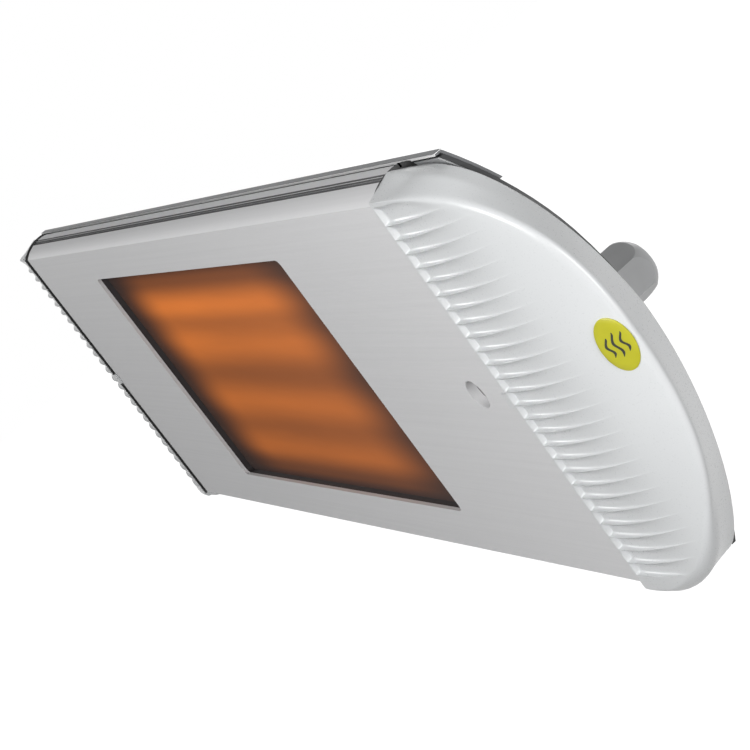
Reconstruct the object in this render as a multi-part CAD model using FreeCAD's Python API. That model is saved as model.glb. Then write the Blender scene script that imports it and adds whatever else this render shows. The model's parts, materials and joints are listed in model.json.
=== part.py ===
import FreeCAD, Part
import math
import os
from FreeCAD import Vector

os.makedirs("parts", exist_ok=True)

# Infrared heater on a tilting wall bracket. Sizes are in millimetres.
# While it is built, x runs along the heater, y from its front face to the back and z up from mid-height.
# Each piece is moved as it is written, so that the origin is the centre of the bracket's face on the wall.

# Shared clearances
overrun = 6.0               # how far a cutter reaches past what it cuts
fit_gap = 0.1               # between sheets and seats that are screwed together
slip_gap = 0.3              # between curved faces that only locate each other
thread_gap = 0.05           # round a screw in its hole, and round the pivot bolt
touching = 0.0001           # points closer than this are the same point

# Front panel, an aluminium extrusion
panel_length = 543.0
panel_height = 185.0
panel_wall = 2.0
corner_radius = 16.0        # rounded top edge
corner_depth = 13.1         # centre of that rounding, behind the front face
panel_crest_round = 6.0
panel_heel_round = 4.0
panel_flange = 14.0         # flanges that the back shell is screwed to
groove_radius = 0.5
groove_depths = (9.1, 10.4, 12.0)
window_width = 296.3
window_top_margin = 19.0
window_bottom_margin = 23.1
window_shift = -9.15        # the terminals need room at the right
window_corner = 3.5
receiver_margin = 25.0      # from the panel's right end
receiver_rise = 1.5
receiver_radius = 7.0
rail_width = 4.0            # ribs above and below the glass
rail_overhang = 6.0

# Back shell and visor
shell_top_depth = 25.0      # inside of the shell, level with the panel's top bend
shell_mid_depth = 50.4
shell_bottom_depth = 33.6
shell_wall = 1.8
shell_end_reach = 39.5      # past the panel's end, where the shell is widest
shell_end_rise = 45.0       # height of that place
shell_top_reach = 26.0      # past the panel's end, at the top and at the bottom
shell_bottom_reach = 24.5
shell_bottom_drop = 5.0
visor_wall = 1.2
visor_drop = 16.0           # lower edge of the visor, below the panel's top bend
visor_rise = 5.2            # its top edge, above the bend
shell_top_drop = 1.0        # the shell ends this far below the visor's lip

# End caps
end_gap = 4.5               # shadow gap between panel and cap
cap_proud = 1.2
cap_drop = 4.5              # below the panel's bottom edge
cap_wall = 4.0
cap_side_wall = 6.0         # measured along the heater
cap_back_gap = 2.0          # inside the shell
cap_crest_round = 12.0
cap_heel_round = 9.0
cap_straight = 10.5         # at the top and bottom, before the side curves round
cap_front_reach = 107.0     # where the side would meet the front face without the dome
cap_back_reach = 39.4       # the same at the shell's greatest depth
cap_side_rise = 3.0         # height where the side reaches furthest
cap_side_points = 6         # points of its curve, above and below that height
cap_toe_round = 6.0         # rounded bottom edge
cap_toe_margin = 0.5        # how far that edge is drawn in front of the dome
dome_radius = 90.0
ridge_round = 4.5
flute_pitch = 6.6
flute_radius = 2.6
flute_depth = 2.2
flute_fade = 45.0           # from the cap's edge to where a flute runs out
flute_reach = 60.0
flute_top_land = 8.7
flute_bottom_land = 8.0
bridge_height = 7.0         # tab that spans the shadow gap
bridge_wall = 2.0
post_radius = 5.0           # screw posts inside the cap
post_depth = 26.0
post_spread = 96.0
post_reach = 58.0
cap_screw_radius = 2.0
cap_screw_length = 16.0
cap_screw_head_radius = 3.6
cap_screw_head = 2.4
collar_wall = 3.0
collar_lap = 9.0            # inside the cap
badge_height = 21.0
badge_width = 13.5
badge_wall = 0.6
badge_place = 60.0          # along the cap, from its edge
badge_rise = 9.0

# Chassis plates that close the panel's ends
chassis_wall = 1.5
chassis_inset = 8.0

# Glass
gasket_thickness = 3.5
gasket_setback = 0.5
glass_thickness = 4.0
glass_lap = 8.0
glass_corner = 5.0
glass_edge_gap = 1.0
clip_length = 16.0
clip_lap = 5.0
clip_wall = 1.2
clip_shares = (-0.38, 0.0, 0.38)
clip_screw_radius = 1.5
clip_screw_length = 7.0
clip_screw_head_radius = 2.8
clip_screw_head = 1.8

# Reflectors and lamps
reflector_wall = 0.8
reflector_depth = 24.0
reflector_seam = 0.6
reflector_end_wall = 1.0
reflector_end_margin = 2.0
lamp_radius = 5.0
lamp_wall = 1.0
lamp_hole_radius = 6.0
filament_radius = 1.2
base_radius = 6.2
base_length = 18.0
base_gap = 1.0
base_socket = 5.0
holder_size = 22.0
holder_length = 14.0
shield_gap = 6.5
shield_wall = 0.8
shield_height = 124.0
shield_overhang = 24.0
spacer_radius = 4.0
spacer_share = 0.42
spacer_height_share = 0.40

# Terminals, leads and receiver
terminal_length = 20.0
terminal_depth = 22.0
terminal_height = 40.0
terminal_front = 12.0
terminal_clearance = 1.4    # above the head of the lower cap screw
terminal_poles = 4
terminal_screw_radius = 1.8
terminal_screw_length = 6.0
terminal_bore_radius = 2.2
terminal_bore_depth = 9.0
lead_radius = 1.2
lead_stub = 10.0
lead_valley_depth = 24.0
lead_spacing = 4.0
lead_bend_share = 0.45
lens_proud = 0.8
lens_wall = 2.0
lens_flange = 2.5
lens_shroud = 4.0
board_width = 22.0
board_height = 34.0
board_wall = 1.6

# Cable gland
gland_margin = 27.5         # from the panel's right end
gland_rise = -3.0
gland_thread_radius = 10.0
gland_inside = 10.0
gland_bore_radius = 6.5
gland_washer_radius = 13.5
gland_washer_wall = 1.6
gland_hex = 24.0
gland_hex_length = 6.0
gland_top_radius = 9.2
gland_top_length = 12.0
gland_cup_radius = 7.6
seal_bore_radius = 5.0
seal_length = 12.0
dome_nut_gap = 0.6
dome_nut_straight = 21.0
dome_nut_length = 32.3
dome_nut_end_radius = 9.0
dome_nut_chamfer = 1.4
lock_nut_hex = 26.0
lock_nut_length = 5.0

# Shell and visor screws
shell_screw_radius = 1.9
shell_screw_length = 8.0
shell_screw_head_radius = 3.6
shell_screw_head = 2.0
shell_screw_shares = (-0.46, -0.23, 0.0, 0.23, 0.46)

# Rear saddle, wall bracket and pivot
saddle_width = 57.0
saddle_height = 64.0
saddle_wall = 6.0
saddle_corner = 8.0
ear_wall = 8.0
ear_radius = 13.0
pivot_depth = 72.0
saddle_hole_width = 22.0
saddle_hole_height = 48.0
saddle_screw_radius = 2.5
saddle_screw_head_radius = 4.6
saddle_screw_head = 3.0
saddle_nut_hex = 8.0
saddle_nut_height = 3.2
pivot_radius = 4.0
pivot_hex = 13.0
pivot_head = 5.3
pivot_nut_height = 6.5
pivot_stick_out = 2.0
washer_radius = 8.0
washer_wall = 1.6
friction_radius = 11.0
friction_wall = 1.6
friction_gap = 0.1
bracket_wall = 3.0
arm_root = 44.0
wall_distance = 55.0        # pivot to wall
plate_width = 100.0
plate_height = 60.0
plate_corner = 6.0
wall_hole_radius = 3.25
wall_hole_margin = 10.0     # from the plate's top and bottom edges

# Places that follow from those sizes
half_length = panel_length / 2
half_height = panel_height / 2
corner_z = half_height - math.sqrt(corner_radius**2 - corner_depth**2)
shell_curve = Part.Arc(
    Vector(0, shell_top_depth, half_height),
    Vector(0, shell_mid_depth, 0),
    Vector(0, shell_bottom_depth, -half_height),
)
shell_centre = shell_curve.toShape().Curve.Center
shell_radius = shell_curve.toShape().Curve.Radius
shell_outside = shell_radius + shell_wall
visor_inside = shell_outside + fit_gap
visor_outside = visor_inside + visor_wall
panel_back_radius = shell_radius - fit_gap
cap_back_radius = shell_radius - cap_back_gap
cap_front = -cap_proud
cap_bottom = -half_height - cap_drop
cap_edge = half_length + end_gap
chassis_outside = half_length - chassis_inset
chassis_inside = chassis_outside - chassis_wall
shell_end = half_length + shell_end_reach
shell_bottom = -half_height - shell_bottom_drop
visor_top = half_height + visor_rise
window_left = window_shift - window_width / 2
window_right = window_shift + window_width / 2
window_bottom = window_bottom_margin - half_height
window_top = half_height - window_top_margin
window_height = window_top - window_bottom
window_rise = (window_top + window_bottom) / 2
receiver_place = half_length - receiver_margin
gland_place = half_length - gland_margin
glass_front = panel_wall + gasket_thickness
glass_back = glass_front + glass_thickness
reflector_front = glass_back + clip_wall
pivot_z = shell_centre.z
wall_depth = pivot_depth + wall_distance
origin = Vector(0, wall_depth, pivot_z)
rightward = Vector(1, 0, 0)
backward = Vector(0, 1, 0)
forward = Vector(0, -1, 0)
upward = Vector(0, 0, 1)


def block(x, y, z):
    size = Vector(x[1] - x[0], y[1] - y[0], z[1] - z[0])
    return Part.makeBox(size.x, size.y, size.z, Vector(x[0], y[0], z[0]))


def rod(start, end, radius):
    axis = end - start
    return Part.makeCylinder(radius, axis.Length, start, axis)


def ring(start, end, outer, inner):
    return rod(start, end, outer).cut(rod(start, end, inner))


def hex_bar(start, end, across_flats):
    axis = end - start
    side = upward.cross(axis).normalize()
    corner = across_flats / math.sqrt(3)
    angles = [math.radians(60 * k) for k in range(7)]
    points = [start + (upward * math.cos(a) + side * math.sin(a)) * corner for a in angles]
    return Part.Face(Part.makePolygon(points)).extrude(axis)


def screw(seat, inward, radius, length, head_radius, head):
    shank = rod(seat, seat + inward * length, radius)
    return shank.fuse(rod(seat - inward * head, seat, head_radius))


def mirrored(shape):
    return shape.mirror(Vector(0, 0, 0), Vector(1, 0, 0))


def along_x(face, start, end):
    return face.translated(Vector(start, 0, 0)).extrude(Vector(end - start, 0, 0))


def frame_face(width, height, corner, centre, depth):
    """Upright rectangle with rounded corners, at a depth behind the front face."""
    x = (centre.x - width / 2, centre.x + width / 2)
    z = (centre.z - height / 2, centre.z + height / 2)
    bar = block(x, (depth, depth + overrun), z)
    uprights = [e for e in bar.Edges if abs(e.tangentAt(e.FirstParameter).y) > 1 - touching]
    bar = bar.makeFillet(corner, uprights)
    return min(bar.Faces, key=lambda face: face.CenterOfMass.y)


def slab(width, height, corner, centre, y):
    """The same rectangle as a solid between two depths."""
    return frame_face(width, height, corner, centre, y[0]).extrude(Vector(0, y[1] - y[0], 0))


def back_depth(radius, z):
    return shell_centre.y + math.sqrt(radius**2 - (z - shell_centre.z) ** 2)


def outward(z, radius):
    """Direction straight out of the back curve at a height."""
    return Vector(0, back_depth(radius, z) - shell_centre.y, z - shell_centre.z).normalize()


def arc_edge(centre, radius, start, end):
    middle = (start - centre).normalize() + (end - centre).normalize()
    return Part.Arc(start, centre + middle.normalize() * radius, end).toShape()


def curved_sheet(inner, outer, bottom, top, x):
    """Part of the back curve, between two radii and two heights."""
    low = [Vector(0, back_depth(r, bottom), bottom) for r in (inner, outer)]
    high = [Vector(0, back_depth(r, top), top) for r in (inner, outer)]
    edges = [
        arc_edge(shell_centre, inner, low[0], high[0]),
        Part.makeLine(high[0], high[1]),
        arc_edge(shell_centre, outer, high[1], low[1]),
        Part.makeLine(low[1], low[0]),
    ]
    return along_x(Part.Face(Part.Wire(edges)), x[0], x[1])


def runs_through(edge, place):
    """Whether an edge runs lengthwise through a point of the cross-section."""
    return all(math.hypot(v.Y - place.y, v.Z - place.z) < touching for v in edge.Vertexes)


def upper_meeting(centre, radius, other, other_radius):
    """The higher of the two points where two circles cross."""
    line = other - centre
    along = (line.Length**2 + radius**2 - other_radius**2) / (2 * line.Length)
    across = math.sqrt(radius**2 - along**2)
    unit = line / line.Length
    side = Vector(0, -unit.z, unit.y)
    points = [centre + unit * along + side * sign * across for sign in (-1, 1)]
    return max(points, key=lambda point: point.z)


def section_face(front, grow, back_radius, bottom, crest_round, heel_round, toe_round=0):
    """Cross-section of the heater: flat front, rounded top edge, curved back and flat bottom."""
    corner = Vector(0, corner_depth, corner_z)
    radius = corner_radius + grow
    bend = Vector(0, front, corner_z + math.sqrt(radius**2 - (corner_depth - front) ** 2))
    crest = upper_meeting(corner, radius, shell_centre, back_radius)
    heel = Vector(0, back_depth(back_radius, bottom), bottom)
    toe = Vector(0, front, bottom)
    edges = [
        Part.makeLine(toe, bend),
        arc_edge(corner, radius, bend, crest),
        arc_edge(shell_centre, back_radius, crest, heel),
        Part.makeLine(heel, toe),
    ]
    bar = Part.Face(Part.Wire(edges)).extrude(Vector(overrun, 0, 0))
    for place, rounding in ((crest, crest_round), (heel, heel_round), (toe, toe_round)):
        if rounding > 0:
            bar = bar.makeFillet(rounding, [e for e in bar.Edges if runs_through(e, place)])
    return min(bar.Faces, key=lambda face: face.CenterOfMass.x)


# Front panel
def panel_form(inset, x):
    """The panel's cross-section drawn in by an inset, as a solid between two places along the heater."""
    face = section_face(
        inset, -inset, panel_back_radius - inset, inset - half_height,
        panel_crest_round - inset, panel_heel_round - inset)
    return along_x(face, x[0], x[1])


panel = panel_form(0, (-half_length, half_length))
panel = panel.cut(panel_form(panel_wall, (-half_length - overrun, half_length + overrun)))
panel_back = (shell_top_depth - overrun, shell_mid_depth + overrun)
open_back = (-half_height + panel_flange, half_height - panel_flange)
panel = panel.cut(block((-half_length - overrun, half_length + overrun), panel_back, open_back))
window_centre = Vector(window_shift, 0, window_rise)
glass_top = window_top + glass_lap
glass_bottom = window_bottom - glass_lap
glass_width = window_width + 2 * glass_lap
glass_height = window_height + 2 * glass_lap
rail_x = (window_left - glass_lap - rail_overhang, window_right + glass_lap + rail_overhang)
top_rail = (glass_top + glass_edge_gap, glass_top + glass_edge_gap + rail_width)
bottom_rail = (glass_bottom - glass_edge_gap - rail_width, glass_bottom - glass_edge_gap)
for rail in (top_rail, bottom_rail):
    panel = panel.fuse(block(rail_x, (panel_wall / 2, glass_back), rail))
panel = panel.removeSplitter()
through_front = (-overrun, panel_wall + overrun)
panel = panel.cut(slab(window_width, window_height, window_corner, window_centre, through_front))
receiver = Vector(receiver_place, 0, receiver_rise)
panel = panel.cut(rod(receiver - backward * overrun, receiver + backward * overrun, receiver_radius))
for depth in groove_depths:
    on_top = Vector(0, depth, corner_z + math.sqrt(corner_radius**2 - (corner_depth - depth) ** 2))
    end = rightward * (half_length + overrun)
    panel = panel.cut(rod(on_top - end, on_top + end, groove_radius))


# Back shell
def shell_outline():
    """The shell seen from the front, as a solid: widest above mid-height, drawn in at top and bottom."""
    widest = Vector(shell_end, 0, shell_end_rise)
    top = Vector(half_length + shell_top_reach, 0, visor_top)
    bottom = Vector(half_length + shell_bottom_reach, 0, shell_bottom)
    radii = [(tip - widest).Length ** 2 / (2 * (widest.x - tip.x)) for tip in (top, bottom)]
    corners = [
        bottom,
        bottom - upward * overrun,
        Vector(0, 0, shell_bottom - overrun),
        Vector(0, 0, visor_top + overrun),
        top + upward * overrun,
        top,
    ]
    edges = [Part.makeLine(a, b) for a, b in zip(corners, corners[1:])]
    edges.append(arc_edge(widest - rightward * radii[0], radii[0], top, widest))
    edges.append(arc_edge(widest - rightward * radii[1], radii[1], widest, bottom))
    half = Part.Face(Part.Wire(edges)).extrude(backward * wall_depth)
    return half.fuse(mirrored(half)).removeSplitter()


outline = shell_outline()
shell_x = (-shell_end, shell_end)
shell_top = visor_top - visor_wall - shell_top_drop
shell = curved_sheet(shell_radius, shell_outside, shell_bottom, shell_top, shell_x).common(outline)

# Top visor: a curved strip with a lip that reaches forward to the panel's rounded edge
visor_bottom = half_height - visor_drop
visor = curved_sheet(visor_inside, visor_outside, visor_bottom, visor_top, shell_x)
lip_back = back_depth(visor_outside, visor_top)
lip_bottom = visor_top - visor_wall
lip_front = corner_depth + math.sqrt((corner_radius + slip_gap) ** 2 - (lip_bottom - corner_z) ** 2)
lip = block(shell_x, (lip_front, lip_back), (lip_bottom, visor_top))
visor = visor.fuse(lip).removeSplitter().common(outline)

# Screws that hold the shell and the visor to the panel's flanges
visor_screw_z = half_height - panel_flange / 2
shell_screw_z = -half_height + panel_flange / 2
visor_screws = []
shell_screws = []
for share in shell_screw_shares:
    for z, seat_radius, group in (
        (visor_screw_z, visor_outside, visor_screws),
        (shell_screw_z, shell_outside, shell_screws),
    ):
        away = outward(z, seat_radius)
        seat = shell_centre + away * (seat_radius + fit_gap) + Vector(share * panel_length, 0, 0)
        group.append(screw(
            seat, -away, shell_screw_radius, shell_screw_length, shell_screw_head_radius, shell_screw_head))
        hole = rod(seat + away * overrun, seat - away * (shell_screw_length + overrun),
                   shell_screw_radius + thread_gap)
        visor = visor.cut(hole)
        shell = shell.cut(hole)
        panel = panel.cut(hole)


# End caps
def side_outline(depth, setback):
    """A cap seen from the front, at a depth: a parabola that is closed behind the cap's edge."""
    share = depth / shell_mid_depth
    reach = cap_front_reach + (cap_back_reach - cap_front_reach) * share
    half = half_height + 2 * overrun
    points = []
    for k in range(-cap_side_points, cap_side_points + 1):
        level = k / cap_side_points
        x = reach - (reach - cap_straight) * level**2 - setback
        points.append(Vector(x, depth, cap_side_rise + level * half))
    curve = Part.BSplineCurve()
    curve.interpolate(points)
    low = points[0]
    high = points[-1]
    behind = rightward * (cap_straight + 2 * overrun)
    line = Part.makePolygon([high, high - behind, low - behind, low])
    return Part.Wire([curve.toShape()] + line.Edges)


def cap_nose(inset, setback):
    """The side of a cap and its domed front, taller than the cap."""
    depths = (2 * cap_front, shell_mid_depth + overrun)
    side = Part.makeLoft([side_outline(depth, setback) for depth in depths], True, True)
    axis = Vector(0, cap_front + dome_radius, -panel_height)
    return side.common(Part.makeCylinder(dome_radius - inset, 2 * panel_height, axis, upward)).Solids[0]


def cap_barrel(inset, start):
    """The cross-section of a cap drawn in by an inset, longer than the cap."""
    face = section_face(
        cap_front - cap_toe_margin + inset, cap_proud - inset, cap_back_radius - inset, cap_bottom + inset,
        cap_crest_round - inset, cap_heel_round - inset, cap_toe_round - inset)
    return along_x(face, start, cap_front_reach)


def on_dome(edge):
    """Whether an edge lies on the cap's domed front."""
    reach = [math.hypot(p.x, p.y - cap_front - dome_radius) for p in edge.discretize(5)]
    return all(abs(r - dome_radius) < touching for r in reach)


def flute_cutters():
    """Round-bottomed cutters, one for each flute, that rise out of the dome where the flute runs out."""
    dome_fall = dome_radius - math.sqrt(dome_radius**2 - flute_fade**2) - flute_depth
    floor_radius = (flute_fade**2 + dome_fall**2) / (2 * dome_fall)
    swing = floor_radius + flute_radius
    hub = Vector(0, cap_front + flute_depth + floor_radius, 0)
    start = -math.asin(overrun / swing)
    sweep = math.degrees(math.asin(flute_reach / swing) - start)
    centre = hub + Vector(math.sin(start), -math.cos(start), 0) * swing
    circle = Part.makeCircle(flute_radius, centre, Vector(math.cos(start), math.sin(start), 0))
    cutter = Part.Face(Part.Wire(circle)).revolve(hub, upward, sweep)
    first = half_height - flute_top_land - flute_pitch / 2
    count = int((first - cap_bottom - flute_bottom_land) / flute_pitch) + 1
    return [cutter.translated(upward * (first - flute_pitch * k)) for k in range(count)]


def end_cap():
    """The right cap, with its edge at x = 0: hollow, fluted, with screw posts and the bridge tab."""
    nose = cap_nose(0, 0)
    ridge = max([e for e in nose.Edges if on_dome(e)], key=lambda edge: edge.Length)
    form = cap_barrel(0, 0).common(nose.makeFillet(ridge_round, [ridge])).Solids[0]
    hollow = cap_barrel(cap_wall, -overrun).common(cap_nose(cap_wall, cap_side_wall))
    cap = form.cut(hollow)
    to_chassis = chassis_outside - cap_edge
    for z in (-post_spread / 2, post_spread / 2):
        foot = Vector(to_chassis, post_depth, z)
        inside = rod(Vector(0, post_depth, z), Vector(post_reach, post_depth, z), post_radius).common(form)
        cap = cap.fuse(inside).fuse(rod(foot, Vector(0, post_depth, z), post_radius))
        pilot_end = foot + rightward * (cap_screw_length + slip_gap)
        cap = cap.cut(rod(foot - rightward * overrun, pilot_end, cap_screw_radius + thread_gap))
    cap = cap.cut(Part.makeCompound(flute_cutters()))
    bridge = block((fit_gap - end_gap, cap_wall), (0, bridge_wall), (-bridge_height / 2, bridge_height / 2))
    return cap.fuse(bridge).removeSplitter()


cap = end_cap()
right_cap = cap.translated(rightward * cap_edge)


# Collars that locate the caps and close the shadow gap
def collar_form(inset, x):
    """The collar's outline drawn in by an inset, clear of the dome's inside as far as it reaches in."""
    inside = cap_wall + slip_gap + inset
    dome_inside = dome_radius - cap_wall
    dome_fall = dome_inside - math.sqrt(dome_inside**2 - collar_lap**2)
    face = section_face(
        cap_front + inside + dome_fall, cap_proud - inside, cap_back_radius - inside,
        panel_wall + slip_gap + inset - half_height,
        cap_crest_round - cap_wall - inset, cap_heel_round - cap_wall - inset)
    return along_x(face, x[0], x[1])


collar_x = (chassis_outside, cap_edge + collar_lap)
collar_hollow = collar_form(collar_wall, (collar_x[0] - overrun, collar_x[1] + overrun))
collar = collar_form(0, collar_x).cut(collar_hollow)

# Chassis plates and the screws that pull the caps on
chassis = panel_form(panel_wall + slip_gap, (chassis_inside, chassis_outside))
cap_screws = []
for z in (-post_spread / 2, post_spread / 2):
    seat = Vector(chassis_inside, post_depth, z)
    reach = rightward * overrun
    chassis = chassis.cut(rod(seat - reach, seat + reach, cap_screw_radius + slip_gap))
    cap_screws.append(screw(
        seat, rightward, cap_screw_radius, cap_screw_length, cap_screw_head_radius, cap_screw_head))
cap_screws += [mirrored(one) for one in cap_screws]

# Badge on the right cap, bent to the dome
lean = math.asin(badge_place / dome_radius)
facing = Vector(math.sin(lean), -math.cos(lean), 0)
dome_axis = Vector(0, cap_front + dome_radius, -panel_height)
badge_centre = Vector(0, cap_front + dome_radius, badge_rise) + facing * (dome_radius - overrun)
badge_side = facing.cross(upward) * (badge_width / 2)
ellipse = Part.Ellipse(badge_centre + upward * (badge_height / 2), badge_centre + badge_side, badge_centre)
badge = Part.Face(Part.Wire(ellipse.toShape())).extrude(facing * 2 * overrun)
badge_skin = [Part.makeCylinder(dome_radius + rise, 2 * panel_height, dome_axis, upward)
              for rise in (fit_gap, fit_gap + badge_wall)]
badge = badge.common(badge_skin[1]).cut(badge_skin[0]).translated(rightward * cap_edge)

# Glass, its gasket and the clips that hold it
gasket_opening = slab(
    window_width + 2 * gasket_setback, window_height + 2 * gasket_setback, window_corner + gasket_setback,
    window_centre, (0, glass_back))
gasket = slab(glass_width, glass_height, glass_corner, window_centre, (panel_wall, glass_front))
gasket = gasket.cut(gasket_opening)
glass = slab(glass_width, glass_height, glass_corner, window_centre, (glass_front, glass_back))
clips = []
clip_screws = []
clip_seats = []
for share in clip_shares:
    x = window_shift + share * window_width
    clip_x = (x - clip_length / 2, x + clip_length / 2)
    for z in ((glass_top - clip_lap, top_rail[1]), (bottom_rail[0], glass_bottom + clip_lap)):
        clips.append(block(clip_x, (glass_back, reflector_front), z))
    for rail in (top_rail, bottom_rail):
        clip_seats.append(Vector(x, reflector_front + reflector_wall, (rail[0] + rail[1]) / 2))
clip_hole_depth = clip_screw_length + slip_gap
clip_holes = Part.makeCompound([
    rod(seat - forward * overrun, seat + forward * clip_hole_depth, clip_screw_radius + thread_gap)
    for seat in clip_seats])
for seat in clip_seats:
    clip_screws.append(screw(
        seat, forward, clip_screw_radius, clip_screw_length, clip_screw_head_radius, clip_screw_head))
clips = [clip.cut(clip_holes) for clip in clips]
panel = panel.cut(clip_holes)

# Reflectors: two parabolic troughs, one above the other
trough_half = window_height / 4 - reflector_wall - reflector_seam / 2
trough_rise = window_height / 4
upper_z = window_rise + trough_rise
lower_z = window_rise - trough_rise
reflector_left = window_left - glass_lap
reflector_right = window_right + glass_lap
focal_length = trough_half**2 / (4 * reflector_depth)
lamp_y = reflector_front + reflector_depth - focal_length


def lobe(z, grow):
    """Parabola and its chord, at a height."""
    half = trough_half + grow
    ends = [Vector(0, reflector_front, z + side * half) for side in (-1, 1)]
    curve = Part.BezierCurve()
    curve.setPoles([ends[0], Vector(0, reflector_front + 2 * (reflector_depth + grow), z), ends[1]])
    return Part.Face(Part.Wire([curve.toShape(), Part.makeLine(ends[1], ends[0])]))


def reflector(z, rail):
    """A trough with a flange that reaches the rail."""
    skin = lobe(z, reflector_wall).cut(lobe(z, 0)).Faces[0]
    trough = along_x(skin, reflector_left, reflector_right)
    side = 1 if rail[0] > z else -1
    edge = z + side * (trough_half + reflector_wall / 2)
    far = rail[1] if side > 0 else rail[0]
    flange = block((reflector_left, reflector_right), (reflector_front, reflector_front + reflector_wall),
                   (min(edge, far), max(edge, far)))
    return trough.fuse(flange).removeSplitter().cut(clip_holes)


upper_reflector = reflector(upper_z, top_rail)
lower_reflector = reflector(lower_z, bottom_rail)
end_lobes = [lobe(z, reflector_end_margin) for z in (upper_z, lower_z)]
end_face = end_lobes[0].fuse(end_lobes[1]).removeSplitter().Faces[0]
left_reflector_end = along_x(end_face, reflector_left - reflector_end_wall, reflector_left)
right_reflector_end = along_x(end_face, reflector_right, reflector_right + reflector_end_wall)

# Lamps: a quartz tube and filament between two ceramic bases in their holders
ends = ((reflector_left - reflector_end_wall, -1), (reflector_right + reflector_end_wall, 1))
tubes = []
filaments = []
bases = []
holders = []
for z in (upper_z, lower_z):
    tube_ends = []
    for x, way in ends:
        out = rightward * way
        face = Vector(x, lamp_y, z)
        hole = rod(face - out * overrun, face + out * overrun, lamp_hole_radius)
        left_reflector_end = left_reflector_end.cut(hole)
        right_reflector_end = right_reflector_end.cut(hole)
        mouth = face + out * base_gap
        floor = mouth + out * base_socket
        base = rod(mouth, mouth + out * base_length, base_radius)
        base = base.cut(rod(mouth, floor, lamp_radius + fit_gap))
        base = base.cut(rod(floor, mouth + out * (base_length + overrun), lead_radius + thread_gap))
        bases.append(base)
        holder_x = sorted((x, x + way * holder_length))
        holder = block(holder_x, (lamp_y - holder_size / 2, lamp_y + holder_size / 2),
                       (z - holder_size / 2, z + holder_size / 2))
        holders.append(holder.cut(rod(face - out * overrun, face + out * (holder_length + overrun),
                                      base_radius + fit_gap)))
        tube_ends.append(floor)
    tubes.append(ring(tube_ends[0], tube_ends[1], lamp_radius, lamp_radius - lamp_wall))
    filaments.append(rod(tube_ends[0], tube_ends[1], filament_radius))

# Heat shield, held off the shell by spacers
shield_outside = shell_radius - shield_gap
shield_z = (shell_centre.z - shield_height / 2, shell_centre.z + shield_height / 2)
shield_x = (window_left - shield_overhang, window_right + shield_overhang)
shield = curved_sheet(shield_outside - shield_wall, shield_outside, shield_z[0], shield_z[1], shield_x)
spacers = []
for side in (-1, 1):
    for level in (-1, 1):
        z = shell_centre.z + level * spacer_height_share * shield_height
        away = outward(z, shell_radius)
        place = shell_centre + rightward * (window_shift + side * spacer_share * window_width)
        lift = fit_gap + spacer_radius**2 / shield_outside
        spacers.append(rod(place + away * (shield_outside + fit_gap), place + away * (shell_radius - lift),
                           spacer_radius))

# Terminal block on the right chassis plate, with a bore and a screw for each pole
terminal_x = (chassis_inside - terminal_length, chassis_inside)
terminal_y = (terminal_front, terminal_front + terminal_depth)
terminal_bottom = cap_screw_head_radius + terminal_clearance - post_spread / 2
terminal_z = (terminal_bottom, terminal_bottom + terminal_height)
terminal = block(terminal_x, terminal_y, terminal_z)
terminal_screws = []
pole_places = []
for pole in range(terminal_poles):
    z = terminal_z[0] + (pole + 1 / 2) * terminal_height / terminal_poles
    mouth = Vector(terminal_x[0], (terminal_y[0] + terminal_y[1]) / 2, z)
    pole_places.append(mouth)
    terminal = terminal.cut(rod(mouth, mouth + rightward * terminal_bore_depth, terminal_bore_radius))
    seat = Vector(terminal_x[0] + terminal_bore_depth / 2, terminal_y[0], z)
    terminal_screws.append(rod(seat, seat + backward * terminal_screw_length, terminal_screw_radius))
    screw_hole = rod(seat, seat + backward * terminal_screw_length, terminal_screw_radius + thread_gap)
    terminal = terminal.cut(screw_hole)


def lead(points):
    """A wire along straight runs, with a bend at each corner as wide as its two runs allow."""
    edges = []
    here = points[0]
    for before, corner, after in zip(points, points[1:], points[2:]):
        incoming = corner - before
        outgoing = after - corner
        setback = lead_bend_share * min(incoming.Length, outgoing.Length)
        into = incoming.normalize()
        out = outgoing.normalize()
        turn = into.getAngle(out)
        radius = setback / math.tan(turn / 2)
        inner = (out - into).normalize()
        start = corner - into * setback
        end = corner + out * setback
        middle = corner + inner * (radius / math.cos(turn / 2) - radius)
        edges.append(Part.makeLine(here, start))
        edges.append(Part.Arc(start, middle, end).toShape())
        here = end
    edges.append(Part.makeLine(here, points[-1]))
    path = Part.Wire(edges)
    circle = Part.Wire(Part.makeCircle(lead_radius, points[0], points[1] - points[0]))
    return path.makePipeShell([circle], True, True)


# Leads from the lamp bases to the terminals; those from the left run between the two troughs
leads = []
left_out = ends[0][0] - base_gap - base_length
right_out = ends[1][0] + base_gap + base_length
left_turn = left_out - lead_stub
right_turn = right_out + lead_stub
lowest_pole, lower_pole, upper_pole, highest_pole = pole_places
for z, run_z, left_pole, right_pole in (
    (upper_z, window_rise + lead_spacing / 2, upper_pole, highest_pole),
    (lower_z, window_rise - lead_spacing / 2, lower_pole, lowest_pole),
):
    leads.append(lead([
        Vector(left_out, lamp_y, z),
        Vector(left_turn, lamp_y, z),
        Vector(left_turn, lead_valley_depth, run_z),
        Vector(right_turn, lead_valley_depth, run_z),
        left_pole - rightward * lead_stub,
        left_pole + rightward * terminal_bore_depth,
    ]))
    leads.append(lead([
        Vector(right_out, lamp_y, z),
        Vector(right_turn, lamp_y, z),
        right_pole - rightward * lead_stub,
        right_pole + rightward * terminal_bore_depth,
    ]))

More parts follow.
